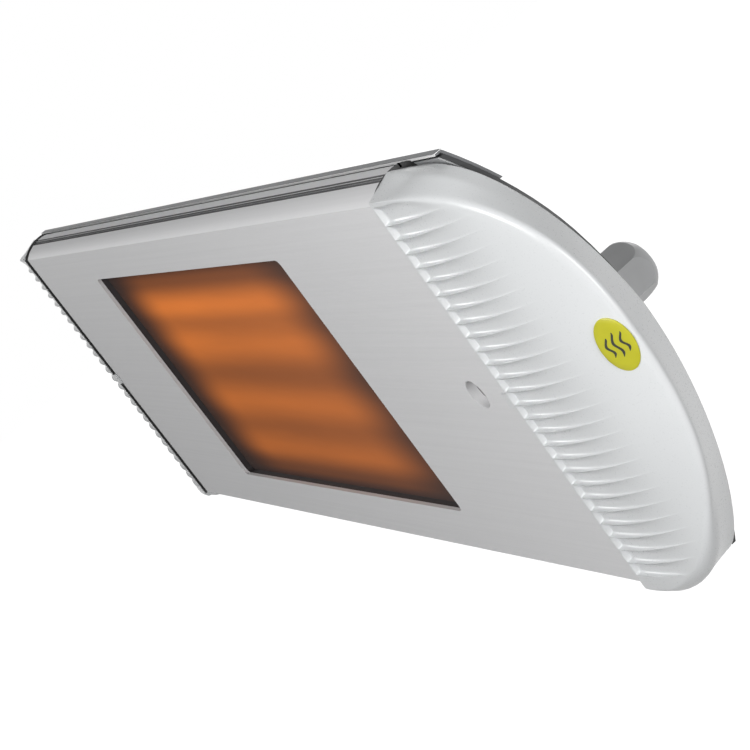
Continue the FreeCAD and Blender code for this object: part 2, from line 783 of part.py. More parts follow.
# Receiver lens behind the round hole, with its board
lens_back = panel_wall + lens_wall
board_front = lens_back + lens_shroud
flange_radius = receiver_radius + lens_flange
lens_depths = (panel_wall - lens_proud, panel_wall, lens_back, board_front)
lens_places = [receiver + backward * depth for depth in lens_depths]
lens = rod(lens_places[0], lens_places[2], receiver_radius - slip_gap)
lens = lens.fuse(rod(lens_places[1], lens_places[2], flange_radius))
lens = lens.fuse(ring(lens_places[2], lens_places[3], flange_radius, receiver_radius)).removeSplitter()
board = block((receiver_place - board_width / 2, receiver_place + board_width / 2),
              (board_front, board_front + board_wall),
              (receiver_rise - board_height / 2, receiver_rise + board_height / 2))

# Cable gland on the back of the shell
gland = Vector(gland_place, 0, gland_rise)
hole = rod(gland, gland + backward * wall_depth, gland_thread_radius + slip_gap)
shell = shell.cut(hole)
shell_peak = back_depth(shell_outside, shell_centre.z)
washer_front = shell_peak + fit_gap
hex_front = washer_front + gland_washer_wall
hex_back = hex_front + gland_hex_length
cup_back = hex_back + gland_top_length
inner_end = back_depth(shell_radius, shell_centre.z) - gland_inside


def on_gland(depth):
    return gland + backward * depth


gland_body = rod(on_gland(inner_end), on_gland(hex_front), gland_thread_radius)
gland_body = gland_body.fuse(hex_bar(on_gland(hex_front), on_gland(hex_back), gland_hex))
gland_body = gland_body.fuse(rod(on_gland(hex_back), on_gland(cup_back), gland_top_radius)).removeSplitter()
gland_body = gland_body.cut(rod(on_gland(0), on_gland(wall_depth), gland_bore_radius))
gland_body = gland_body.cut(rod(on_gland(hex_back), on_gland(wall_depth), gland_cup_radius))
washer_bore = gland_thread_radius + fit_gap
gland_washer = ring(on_gland(washer_front), on_gland(hex_front), gland_washer_radius, washer_bore)
seal_back = hex_back + seal_length
gland_seal = ring(on_gland(hex_back), on_gland(seal_back), gland_cup_radius - fit_gap, seal_bore_radius)
lowest = max(abs(gland_rise + side * lock_nut_hex / math.sqrt(3) - shell_centre.z) for side in (-1, 1))
lock_back = shell_centre.y + math.sqrt(shell_radius**2 - lowest**2) - fit_gap
lock_nut = hex_bar(on_gland(lock_back - lock_nut_length), on_gland(lock_back), lock_nut_hex)
lock_nut = lock_nut.cut(rod(on_gland(0), on_gland(wall_depth), gland_thread_radius + thread_gap))

# Its dome nut: hexagon, then a rounded end over the seal
nut_front = hex_back + dome_nut_gap
nut_round = nut_front + dome_nut_straight
nut_end = nut_front + dome_nut_length
hex_corner = gland_hex / math.sqrt(3)
nut_profile = [
    Part.makeLine(on_gland(nut_front), on_gland(nut_front) + rightward * (hex_corner - dome_nut_chamfer)),
    Part.makeLine(on_gland(nut_front) + rightward * (hex_corner - dome_nut_chamfer),
                  on_gland(nut_front + dome_nut_chamfer) + rightward * hex_corner),
    Part.makeLine(on_gland(nut_front + dome_nut_chamfer) + rightward * hex_corner,
                  on_gland(nut_round) + rightward * hex_corner),
]
shoulder_start = on_gland(nut_round) + rightward * hex_corner
shoulder_end = on_gland(nut_end) + rightward * dome_nut_end_radius
bulge = (shoulder_start + shoulder_end) / 2 + (rightward + backward) * (hex_corner - dome_nut_end_radius) / 4
nut_profile.append(Part.Arc(shoulder_start, bulge, shoulder_end).toShape())
nut_profile.append(Part.makeLine(shoulder_end, on_gland(nut_end)))
nut_profile.append(Part.makeLine(on_gland(nut_end), on_gland(nut_front)))
dome_nut = Part.Face(Part.Wire(nut_profile)).revolve(gland, backward, 360)
dome_nut = dome_nut.common(hex_bar(on_gland(0), on_gland(wall_depth), gland_hex))
dome_nut = dome_nut.cut(rod(on_gland(0), on_gland(cup_back + dome_nut_gap), gland_top_radius + thread_gap))
dome_nut = dome_nut.cut(rod(on_gland(0), on_gland(wall_depth), gland_bore_radius))

# Rear saddle: a curved seat and two ears that carry the pivot
saddle_centre = Vector(0, 0, pivot_z)
saddle_back = shell_peak + saddle_wall
saddle = slab(saddle_width, saddle_height, saddle_corner, saddle_centre, (shell_top_depth, saddle_back))
seat_axis = shell_centre - rightward * saddle_width
saddle = saddle.cut(Part.makeCylinder(shell_outside + fit_gap, 2 * saddle_width, seat_axis, rightward))
pivot = Vector(0, pivot_depth, pivot_z)
for side in (-1, 1):
    ear_x = sorted((side * saddle_width / 2, side * (saddle_width / 2 - ear_wall)))
    ear = rod(pivot + rightward * ear_x[0], pivot + rightward * ear_x[1], ear_radius)
    ear = ear.fuse(block(ear_x, (saddle_back - saddle_wall / 2, pivot_depth),
                         (pivot_z - ear_radius, pivot_z + ear_radius)))
    saddle = saddle.fuse(ear)
saddle = saddle.removeSplitter()
pivot_end = rightward * plate_width
saddle = saddle.cut(rod(pivot - pivot_end, pivot + pivot_end, pivot_radius + thread_gap))
saddle_screws = []
saddle_nuts = []
for side in (-1, 1):
    for level in (-1, 1):
        z = pivot_z + level * saddle_hole_height / 2
        place = Vector(side * saddle_hole_width / 2, 0, z)
        outer_corner = abs(z - shell_centre.z) + saddle_nut_hex / math.sqrt(3)
        nut_back = shell_centre.y + math.sqrt(shell_radius**2 - outer_corner**2) - fit_gap
        seat = place + backward * saddle_back
        tip = nut_back - saddle_nut_height
        hole = rod(place, place + backward * wall_depth, saddle_screw_radius + thread_gap)
        saddle = saddle.cut(hole)
        shell = shell.cut(hole)
        saddle_screws.append(screw(
            seat, forward, saddle_screw_radius, saddle_back - tip,
            saddle_screw_head_radius, saddle_screw_head))
        nut = hex_bar(place + backward * tip, place + backward * nut_back, saddle_nut_hex)
        saddle_nuts.append(nut.cut(hole))

# Wall bracket: a plate on the wall with two arms beside the saddle's ears
arm_inside = saddle_width / 2 + friction_gap + friction_wall
arm_outside = arm_inside + bracket_wall
plate_y = (wall_depth - bracket_wall, wall_depth)
bracket = slab(plate_width, plate_height, plate_corner, saddle_centre, plate_y)
arm_points = [
    Vector(0, pivot_depth, pivot_z + ear_radius),
    Vector(0, plate_y[0], pivot_z + arm_root / 2),
    Vector(0, plate_y[0], pivot_z - arm_root / 2),
    Vector(0, pivot_depth, pivot_z - ear_radius),
]
arm_face = Part.Face(Part.makePolygon(arm_points + arm_points[:1]))
friction_washers = []
pivot_washers = []
for side in (-1, 1):
    arm_x = sorted((side * arm_inside, side * arm_outside))
    arm = along_x(arm_face, arm_x[0], arm_x[1])
    arm = arm.fuse(rod(pivot + rightward * arm_x[0], pivot + rightward * arm_x[1], ear_radius))
    bracket = bracket.fuse(arm)
    inner = pivot + rightward * side * arm_inside
    friction_washers.append(ring(inner - rightward * side * friction_wall, inner, friction_radius,
                                 pivot_radius + slip_gap))
    outer = pivot + rightward * side * arm_outside
    pivot_washers.append(ring(outer, outer + rightward * side * washer_wall, washer_radius,
                              pivot_radius + slip_gap))
bracket = bracket.removeSplitter()
bracket = bracket.cut(rod(pivot - pivot_end, pivot + pivot_end, pivot_radius + slip_gap))
wall_hole_x = (arm_outside + plate_width / 2) / 2
wall_hole_z = plate_height / 2 - wall_hole_margin
for side in (-1, 1):
    for level in (-1, 1):
        place = Vector(side * wall_hole_x, 0, pivot_z + level * wall_hole_z)
        bracket = bracket.cut(rod(place, place + backward * (wall_depth + overrun), wall_hole_radius))
under_head = arm_outside + washer_wall
bolt_end = under_head + pivot_nut_height + pivot_stick_out
pivot_bolt = rod(pivot - rightward * under_head, pivot + rightward * bolt_end, pivot_radius)
head_outside = pivot - rightward * (under_head + pivot_head)
bolt_head = hex_bar(head_outside, pivot - rightward * under_head, pivot_hex)
pivot_bolt = pivot_bolt.fuse(bolt_head).removeSplitter()
nut_outside = under_head + pivot_nut_height
pivot_nut = hex_bar(pivot + rightward * under_head, pivot + rightward * nut_outside, pivot_hex)
pivot_nut = pivot_nut.cut(rod(pivot, pivot + pivot_end, pivot_radius + thread_gap))

pieces = {
    "front_panel": panel,
    "back_shell": shell,
    "top_visor": visor,
    "visor_screws": visor_screws,
    "shell_screws": shell_screws,
    "left_end_cap": mirrored(right_cap),
    "right_end_cap": right_cap,
    "left_cap_collar": mirrored(collar),
    "right_cap_collar": collar,
    "left_chassis_plate": mirrored(chassis),
    "right_chassis_plate": chassis,
    "cap_screws": cap_screws,
    "badge": badge,
    "glass_panel": glass,
    "glass_gasket": gasket,
    "glass_clips": clips,
    "glass_clip_screws": clip_screws,
    "upper_reflector": upper_reflector,
    "lower_reflector": lower_reflector,
    "left_reflector_end": left_reflector_end,
    "right_reflector_end": right_reflector_end,
    "upper_lamp_tube": tubes[0],
    "lower_lamp_tube": tubes[1],
    "upper_filament": filaments[0],
    "lower_filament": filaments[1],
    "lamp_bases": bases,
    "lamp_holders": holders,
    "heat_shield": shield,
    "shield_spacers": spacers,
    "terminal_block": terminal,
    "terminal_screws": terminal_screws,
    "lamp_leads": leads,
    "receiver_lens": lens,
    "receiver_board": board,
    "gland_body": gland_body,
    "gland_washer": gland_washer,
    "gland_seal": gland_seal,
    "gland_lock_nut": lock_nut,
    "gland_dome_nut": dome_nut,
    "rear_saddle": saddle,
    "saddle_screws": saddle_screws,
    "saddle_nuts": saddle_nuts,
    "wall_bracket": bracket,
    "friction_washers": friction_washers,
    "pivot_bolt": pivot_bolt,
    "pivot_washers": pivot_washers,
    "pivot_nut": pivot_nut,
}

for name, piece in pieces.items():
    shape = Part.makeCompound(piece) if isinstance(piece, list) else piece
    if len(shape.Solids) == 1:
        shape = shape.Solids[0]
    print(name, "valid" if shape.isValid() else "BROKEN", len(shape.Solids), round(shape.Volume))
    shape.translated(-origin).exportStep("parts/" + name + ".step")
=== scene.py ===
import json
import math

import bmesh
import bpy
from mathutils import Matrix, Vector


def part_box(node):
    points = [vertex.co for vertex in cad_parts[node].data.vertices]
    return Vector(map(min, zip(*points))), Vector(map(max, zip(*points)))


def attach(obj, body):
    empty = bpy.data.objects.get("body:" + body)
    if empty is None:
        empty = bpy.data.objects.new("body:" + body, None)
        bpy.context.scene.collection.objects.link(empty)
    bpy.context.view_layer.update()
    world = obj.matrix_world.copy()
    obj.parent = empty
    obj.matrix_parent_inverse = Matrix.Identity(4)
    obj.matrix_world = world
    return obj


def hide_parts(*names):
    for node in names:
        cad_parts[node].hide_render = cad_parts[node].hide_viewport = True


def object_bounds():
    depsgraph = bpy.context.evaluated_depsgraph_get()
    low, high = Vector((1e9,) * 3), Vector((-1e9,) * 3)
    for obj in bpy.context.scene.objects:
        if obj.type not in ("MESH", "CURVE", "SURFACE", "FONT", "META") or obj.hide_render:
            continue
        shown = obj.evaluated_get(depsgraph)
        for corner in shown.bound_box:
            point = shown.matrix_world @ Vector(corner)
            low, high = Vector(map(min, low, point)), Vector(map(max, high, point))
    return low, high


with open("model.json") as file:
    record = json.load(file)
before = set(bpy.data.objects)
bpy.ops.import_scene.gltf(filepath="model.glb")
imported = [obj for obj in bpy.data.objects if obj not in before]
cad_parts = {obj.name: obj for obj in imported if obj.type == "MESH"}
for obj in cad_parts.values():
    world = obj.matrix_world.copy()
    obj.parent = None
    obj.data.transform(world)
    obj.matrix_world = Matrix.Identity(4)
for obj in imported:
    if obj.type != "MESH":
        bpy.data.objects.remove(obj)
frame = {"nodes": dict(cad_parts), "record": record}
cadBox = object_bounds()
nodes = frame["nodes"]
scene = bpy.context.scene
print("frame loaded:", len(nodes), "nodes")

# everything below is drawn in millimetres: x from the middle of the heater, depth behind the panel's
# front face, height above the panel's bottom edge
panelLow, panelHigh = [Vector(corner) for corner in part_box("front_panel")]
panelFoot = Vector(((panelLow.x + panelHigh.x) / 2, panelLow.y, panelLow.z))
mm = 0.001
touch = 0.01                  # how far solids of one piece run into their neighbours


def at(x, depth, height):
    return panelFoot + Vector((x, depth, height)) * mm


# Materials

tintSpan = (0.3, 0.7)         # the part of a noise's range over which its two colours blend


def linear(hexColour):
    parts = [int(hexColour[i:i + 2], 16) / 255 for i in (1, 3, 5)]
    return [p / 12.92 if p <= 0.04045 else ((p + 0.055) / 1.055) ** 2.4 for p in parts] + [1.0]


def addNode(tree, kind, settings=None, links=None):
    node = tree.nodes.new(kind)
    for name, value in (settings or {}).items():
        if isinstance(name, int) or name in node.inputs:
            node.inputs[name].default_value = value
        else:
            setattr(node, name, value)
    for name, source in (links or {}).items():
        tree.links.new(source, node.inputs[name])
    return node


def startMaterial(name, settings):
    material = bpy.data.materials.new(name)
    material.use_nodes = True
    shader = material.node_tree.nodes["Principled BSDF"]
    for socket, value in settings.items():
        shader.inputs[socket].default_value = linear(value) if isinstance(value, str) else value
    return material, material.node_tree, shader


def every(millimetres):
    return 1000 / millimetres     # a pattern's scale from the size of one repeat


def grain(tree, size, stretch=(1, 1, 1), detail=2.0):
    # noise in the part's own coordinates, drawn out along the axes whose stretch is over 1
    place = addNode(tree, "ShaderNodeTexCoord").outputs["Object"]
    drawn = addNode(tree, "ShaderNodeMapping", {"Scale": [1 / s for s in stretch]}, {"Vector": place})
    return addNode(tree, "ShaderNodeTexNoise", {"Scale": every(size), "Detail": detail},
                   {"Vector": drawn.outputs["Vector"]}).outputs["Fac"]


def tint(tree, shader, factor, darker, lighter):
    ramp = addNode(tree, "ShaderNodeValToRGB", links={"Fac": factor})
    for stop, position, colour in zip(ramp.color_ramp.elements, tintSpan, (darker, lighter)):
        stop.position = position
        stop.color = linear(colour)
    tree.links.new(ramp.outputs["Color"], shader.inputs["Base Color"])


def roughen(tree, shader, factor, low, high):
    spread = addNode(tree, "ShaderNodeMapRange", {"To Min": low, "To Max": high}, {"Value": factor})
    tree.links.new(spread.outputs["Result"], shader.inputs["Roughness"])


def emboss(tree, shader, factor, strength, depth):
    bump = addNode(tree, "ShaderNodeBump", {"Strength": strength, "Distance": depth * mm},
                   {"Height": factor})
    tree.links.new(bump.outputs["Normal"], shader.inputs["Normal"])


def anodisedAluminium():
    # extruded, etched and anodised: a silvery matt sheen with faint draw lines along its length,
    # spaced wider than they are so that they show
    material, tree, shader = startMaterial("anodisedAluminium", {"Metallic": 0.15})
    lines = grain(tree, size=1.6, stretch=(120, 1, 1))
    tint(tree, shader, lines, "#dededf", "#e2e2e3")
    roughen(tree, shader, lines, low=0.56, high=0.66)
    emboss(tree, shader, lines, strength=0.12, depth=0.05)
    return material


def powderCoat(name, darker, lighter):
    # baked polyester powder: satin, with the soft orange peel of a sprayed coat
    # the same satin shader also carries painted light and shade: the groove shade, the visor sheen and the
    # hood light
    material, tree, shader = startMaterial(name, {"IOR": 1.5})
    peel = grain(tree, size=1.4)
    tint(tree, shader, grain(tree, size=35), darker, lighter)
    roughen(tree, shader, peel, low=0.36, high=0.50)
    emboss(tree, shader, peel, strength=0.10, depth=0.08)
    return material


def mouldedAbs():
    # injection-moulded ABS, painted pale silver: a soft gloss over the spark-eroded grain of the mould,
    # drawn coarser than it is so that it shows
    material, tree, shader = startMaterial("mouldedAbs", {"IOR": 1.53})
    fine = grain(tree, size=0.7)
    tint(tree, shader, grain(tree, size=60), "#d8dadb", "#dddfe0")
    roughen(tree, shader, fine, low=0.25, high=0.32)
    emboss(tree, shader, fine, strength=0.015, depth=0.02)
    return material


def mouldedNylon(name, darker, lighter, rough, uneven=0.06):
    # moulded nylon, and other small mouldings like it: one even tone with a faint mottled grain,
    # drawn coarser than it is so that it shows
    material, tree, shader = startMaterial(name, {"IOR": 1.53})
    fine = grain(tree, size=0.9)
    tint(tree, shader, grain(tree, size=12), darker, lighter)
    roughen(tree, shader, fine, low=rough - uneven, high=rough + uneven)
    emboss(tree, shader, fine, strength=0.08, depth=0.05)
    return material


def enamel(name, darker, lighter):
    # printed or brushed on and lacquered: even colour under a clear hard gloss
    material, tree, shader = startMaterial(name, {
        "Roughness": 0.35, "Coat Weight": 0.15, "Coat Roughness": 0.1})
    tint(tree, shader, grain(tree, size=9), darker, lighter)
    return material


def platedSteel(name, darker, lighter):
    # zinc-plated steel: cool grey, with the cloudy spangle of the passivated plating
    material, tree, shader = startMaterial(name, {"Metallic": 0.9})
    cloud = grain(tree, size=6, detail=4.0)
    tint(tree, shader, cloud, darker, lighter)
    roughen(tree, shader, cloud, low=0.28, high=0.42)
    return material


def polishedReflector():
    # bright-rolled aluminium lit by the lamps: rolling lines, spaced wider than they are so that they
    # show, and a warm light of its own that stands for the lamps'
    material, tree, shader = startMaterial("polishedReflector", {
        "Metallic": 0.9, "Emission Color": "#ff7a1e", "Emission Strength": 0.35})
    lines = grain(tree, size=1.5, stretch=(60, 1, 1))
    tint(tree, shader, lines, "#b98f6a", "#caa27c")
    roughen(tree, shader, lines, low=0.18, high=0.30)
    return material


def glowing(name, colour, strength, uneven=0.2):
    # hot tungsten and the quartz round it: light of its own, a little uneven along the wire
    material, tree, shader = startMaterial(name, {"Base Color": "#2a1206", "Emission Color": colour})
    level = addNode(tree, "ShaderNodeMapRange",
                    {"To Min": strength * (1 - uneven), "To Max": strength * (1 + uneven)},
                    {"Value": grain(tree, size=14)})
    tree.links.new(level.outputs["Result"], shader.inputs["Emission Strength"])
    return material


def steatite(name, darker, lighter):
    # pressed and fired ceramic: cream, dry, with a slightly sandy surface whose grit is drawn coarser
    # than it is so that it shows
    material, tree, shader = startMaterial(name, {"IOR": 1.55})
    sand = grain(tree, size=0.8)
    tint(tree, shader, sand, darker, lighter)
    roughen(tree, shader, sand, low=0.6, high=0.75)
    emboss(tree, shader, sand, strength=0.15, depth=0.06)
    return material


def wovenSleeve():
    # glass-fibre braid over a wire: pale, dry, with a fine cross weave
    material, tree, shader = startMaterial("wovenSleeve", {"Roughness": 0.8})
    place = addNode(tree, "ShaderNodeTexCoord").outputs["Object"]
    weave = addNode(tree, "ShaderNodeTexChecker", {"Scale": every(0.9)}, {"Vector": place})
    tint(tree, shader, weave.outputs["Fac"], "#b3ab9c", "#cfc8ba")
    return material


# painted light on the glass: a band for each lamp and, just below it, one for the lamp's image in the trough
glow = {
    "colour": "#ff8b2c",
    "glass": "#5e5452",
    "alpha": 0.97,
    "heights": (23.1, 29.0, 44.0, 60.0, 76.0, 95.0, 116.0, 129.0, 141.0, 157.0, 166.0),
    "levels": (0.02, 0.10, 0.37, 0.25, 0.43, 0.24, 0.50, 0.37, 0.58, 0.16, 0.03),
    "endFade": (65.0, 75.0),      # over which the glow dies away at the left and right of the window
    "endLevel": 0.05,             # the share of it that is left there
    "streaks": (0.82, 1.18),      # how uneven it is along the lamps
    "streakSize": 14.0,
    "streakStretch": (9, 1, 1),
}


def ceramicGlassPaintedGlow(settings, window):
    # tinted glass ceramic, nearly black when cold, with painted light: soft orange bands of its own glow
    # that stand for the lamps behind it
    material, tree, shader = startMaterial("ceramicGlassPaintedGlow", {
        "Base Color": settings["glass"], "IOR": 1.52, "Alpha": settings["alpha"],
        "Specular IOR Level": 0.0, "Emission Color": settings["colour"]})
    left, right, bottom, top = window
    place = addNode(tree, "ShaderNodeTexCoord").outputs["Object"]
    split = addNode(tree, "ShaderNodeSeparateXYZ", links={"Vector": place})
    share = addNode(tree, "ShaderNodeMapRange",
                    {"From Min": at(0, 0, bottom).z, "From Max": at(0, 0, top).z},
                    {"Value": split.outputs["Z"]})
    bands = addNode(tree, "ShaderNodeValToRGB", links={"Fac": share.outputs["Result"]})
    bands.color_ramp.interpolation = "EASE"
    stops = bands.color_ramp.elements
    while len(stops) < len(settings["heights"]):
        stops.new(0.5)
    for stop, height, level in zip(stops, settings["heights"], settings["levels"]):
        stop.position = (height - bottom) / (top - bottom)
        stop.color = (level, level, level, 1)
    fades = []
    fadeLeft, fadeRight = settings["endFade"]
    for start, inner in ((left, left + fadeLeft), (right, right - fadeRight)):
        fade = addNode(tree, "ShaderNodeMapRange",
                       {"interpolation_type": "SMOOTHSTEP", "From Min": at(start, 0, 0).x,
                        "From Max": at(inner, 0, 0).x, "To Min": settings["endLevel"]},
                       {"Value": split.outputs["X"]})
        fades.append(fade.outputs["Result"])
    ends = addNode(tree, "ShaderNodeMath", {"operation": "MULTIPLY"}, {0: fades[0], 1: fades[1]})
    dimmest, brightest = settings["streaks"]
    wisps = grain(tree, settings["streakSize"], settings["streakStretch"], detail=3.0)
    streaks = addNode(tree, "ShaderNodeMapRange", {"To Min": dimmest, "To Max": brightest}, {"Value": wisps})
    uneven = addNode(tree, "ShaderNodeMath", {"operation": "MULTIPLY"},
                     {0: ends.outputs["Value"], 1: streaks.outputs["Result"]})
    level = addNode(tree, "ShaderNodeMath", {"operation": "MULTIPLY"},
                    {0: bands.outputs["Color"], 1: uneven.outputs["Value"]})
    tree.links.new(level.outputs["Value"], shader.inputs["Emission Strength"])
    roughen(tree, shader, grain(tree, size=3), low=0.08, high=0.16)
    return material


# Shared shapes

def onCircle(centre, radius, turn):
    return Vector((centre[0] + radius * math.cos(turn), centre[1] + radius * math.sin(turn)))


def arc(centre, radius, start, end, steps):
    return [onCircle(centre, radius, start + (end - start) * i / steps) for i in range(steps + 1)]


def circle(centre, radius, steps):
    return arc(centre, radius, 0, 2 * math.pi, steps)[:-1]


def soften(before, corner, after, setback, steps=6):
    start = corner + (before - corner).normalized() * setback
    end = corner + (after - corner).normalized() * setback
    shares = [i / steps for i in range(steps + 1)]
    return [start * (1 - t) ** 2 + corner * 2 * t * (1 - t) + end * t ** 2 for t in shares]


def ease(low, high, value):
    share = min(1.0, max(0.0, (value - low) / (high - low)))
    return share * share * (3 - 2 * share)


def loopFaces(base, count, loops):
    # quads between closed loops of corners that follow each other
    faces = []
    for first in range(base, base + (loops - 1) * count, count):
        for i in range(count):
            k = (i + 1) % count
            faces.append((first + i, first + k, first + count + k, first + count + i))
    return faces


def barFaces(base, count):
    # a closed bar between two loops
    ends = [tuple(range(base, base + count)), tuple(range(base + count, base + 2 * count))]
    return loopFaces(base, count, 2) + ends


def plainMesh(name, corners, faces):
    mesh = bpy.data.meshes.new(name)
    mesh.from_pydata([tuple(c) for c in corners], [], faces)
    bm = bmesh.new()
    bm.from_mesh(mesh)
    bmesh.ops.recalc_face_normals(bm, faces=bm.faces)
    bm.to_mesh(mesh)
    bm.free()
    piece = bpy.data.objects.new(name, mesh)
    scene.collection.objects.link(piece)
    return piece


def meshPiece(name, corners, faces, material):
    piece = plainMesh(name, corners, faces)
    piece.data.materials.append(material)
    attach(piece, "heater")
    return piece


def smooth(piece, crease):
    piece.data.shade_smooth()
    piece.data.set_sharp_from_angle(angle=math.radians(crease))


# Front panel: the extrusion with its fine ribs, window and receiver hole
panel = {
    "halfLength": 273.0,
    "height": 185.0,
    "wall": 2.0,
    "cornerRadius": 22.0,                 # of the rounded top edge
    "cornerDepth": 15.0,
    "bendSteps": 12,
    "stripSteps": 4,
    "backCentre": (-163.34, 83.545),      # depth and height of the back curve's centre
    "backRadius": 213.83,
    "flange": 14.0,
    "softening": 5.0,                     # rounding where the flanges start
    "crestStep": 0.01,                    # radians, in looking for where the top edge meets the back
    "ribPitch": 1.2,
    "ribDepth": 0.05,
    "ribSteps": 4,
    "grooveDepths": (9.1, 10.4, 12.0),
    "grooveRadius": 0.62,
    "grooveSink": 1.3,
    "grooveFloor": 0.75,                  # share of a groove's width that is flat
    "grooveShares": (0.25, 1.1),          # shares of the sink between which a face is in a groove
    "window": (-157.3, 139.0, 23.1, 166.0),   # left, right, bottom, top
    "windowCorner": 3.5,
    "windowSteps": 6,
    "receiver": (246.5, 94.0),
    "receiverRadius": 7.0,
    "receiverSteps": 48,
    "crease": 24,
}


def backPoint(inset, height, radius=panel["backRadius"]):
    centre = panel["backCentre"]
    return Vector((centre[0] + math.sqrt((radius - inset) ** 2 - (height - centre[1]) ** 2), height))


def cornerCentre(settings):
    rise = math.sqrt(settings["cornerRadius"] ** 2 - settings["cornerDepth"] ** 2)
    return Vector((settings["cornerDepth"], settings["height"] - rise))


def panelOutline(settings, inset, ribbed):
    # from the tip of the lower flange, round the front, to the tip of the upper one, as (depth, height)
    height = settings["height"]
    radius = settings["cornerRadius"] - inset
    corner = cornerCentre(settings)
    setback = settings["softening"] - inset
    lowTip = backPoint(inset, settings["flange"])
    heel = backPoint(inset, inset)
    toe = Vector((inset, inset))
    bendTurn = math.pi - math.asin(min(1, math.sqrt(radius ** 2 - (corner.x - inset) ** 2) / radius))
    # the crest is where the rounded top edge meets the back curve
    crestTurn = bendTurn
    reach = settings["backRadius"] - inset
    while crestTurn > 0:
        if (onCircle(corner, radius, crestTurn) - Vector(settings["backCentre"])).length > reach:
            break
        crestTurn -= settings["crestStep"]
    crest = onCircle(corner, radius, crestTurn)
    highTip = backPoint(inset, height - settings["flange"])
    points = [lowTip]
    points += soften(lowTip, heel, toe, setback)
    half = settings["grooveRadius"] / radius
    stops = [bendTurn]
    if ribbed:
        bend = onCircle(corner, radius, bendTurn)
        count = settings["ribSteps"] * round((bend.y - toe.y) / settings["ribPitch"])
        for step in range(count + 1):
            wave = 2 * math.pi * step / settings["ribSteps"]
            sunk = settings["ribDepth"] * (1 - math.cos(wave)) / 2
            points.append(Vector((inset + sunk, toe.y + (bend.y - toe.y) * step / count)))
        for depth in settings["grooveDepths"]:
            turn = math.acos((depth - corner.x) / radius)
            stops += [turn + half, turn - half]
    else:
        points.append(toe)
    stops.append(crestTurn + settings["softening"] / radius)
    # plain strips and grooves follow each other from the bend to the crest
    for index, (start, end) in enumerate(zip(stops, stops[1:])):
        if index % 2:
            middle = (start + end) / 2
            floor = half * settings["grooveFloor"]
            points += arc(corner, radius - settings["grooveSink"], middle + floor, middle - floor, 2)
        else:
            steps = settings["stripSteps"] if index else settings["bendSteps"]
            points += arc(corner, radius, start, end, steps)
    points += soften(points[-1], crest, highTip, setback)
    points.append(highTip)
    return points


def prism(name, outline, depths):
    # a closed bar through the panel's front, from an outline of (x, height)
    corners = [at(p.x, depth, p.y) for depth in depths for p in outline]
    return plainMesh(name, corners, barFaces(0, len(outline)))


def cutThrough(piece, cutters):
    for cutter in cutters:
        cut = piece.modifiers.new("cut", "BOOLEAN")
        cut.operation = "DIFFERENCE"
        cut.solver = "EXACT"
        cut.object = cutter
    bpy.context.view_layer.update()
    graph = bpy.context.evaluated_depsgraph_get()
    result = bpy.data.meshes.new_from_object(piece.evaluated_get(graph))
    piece.modifiers.clear()
    piece.data = result
    for cutter in cutters:
        bpy.data.objects.remove(cutter)


def paintGrooveShade(piece, settings, material):
    # painted shade: the faces deep in the grooves take a darker grey than the metal beside them, for the
    # shade that falls in the grooves
    piece.data.materials.append(material)
    corner = cornerCentre(settings)
    least, most = [share * settings["grooveSink"] for share in settings["grooveShares"]]
    for face in piece.data.polygons:
        place = (face.center - panelFoot) / mm
        sunk = settings["cornerRadius"] - (Vector((place.y, place.z)) - corner).length
        if least < sunk < most and place.z > settings["height"]:
            face.material_index = 1


def ribbedPanel(settings, material, grooveShadeMaterial):
    section = panelOutline(settings, 0, True) + panelOutline(settings, settings["wall"], False)[::-1]
    ends = (-settings["halfLength"], settings["halfLength"])
    corners = [at(x, p.x, p.y) for x in ends for p in section]
    piece = meshPiece("ribbed_front_panel", corners, barFaces(0, len(section)), material)
    left, right, bottom, top = settings["window"]
    r = settings["windowCorner"]
    quarter = math.pi / 2
    window = []
    for x, height, turn in ((right - r, top - r, 0), (left + r, top - r, quarter),
                            (left + r, bottom + r, 2 * quarter), (right - r, bottom + r, 3 * quarter)):
        window += arc((x, height), r, turn, turn + quarter, settings["windowSteps"])
    hole = circle(settings["receiver"], settings["receiverRadius"], settings["receiverSteps"])
    through = (-settings["wall"], 2 * settings["wall"])
    cutThrough(piece, [prism("windowCutter", window, through), prism("receiverCutter", hole, through)])
    paintGrooveShade(piece, settings, grooveShadeMaterial)
    smooth(piece, settings["crease"])
    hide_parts("front_panel")
    return piece


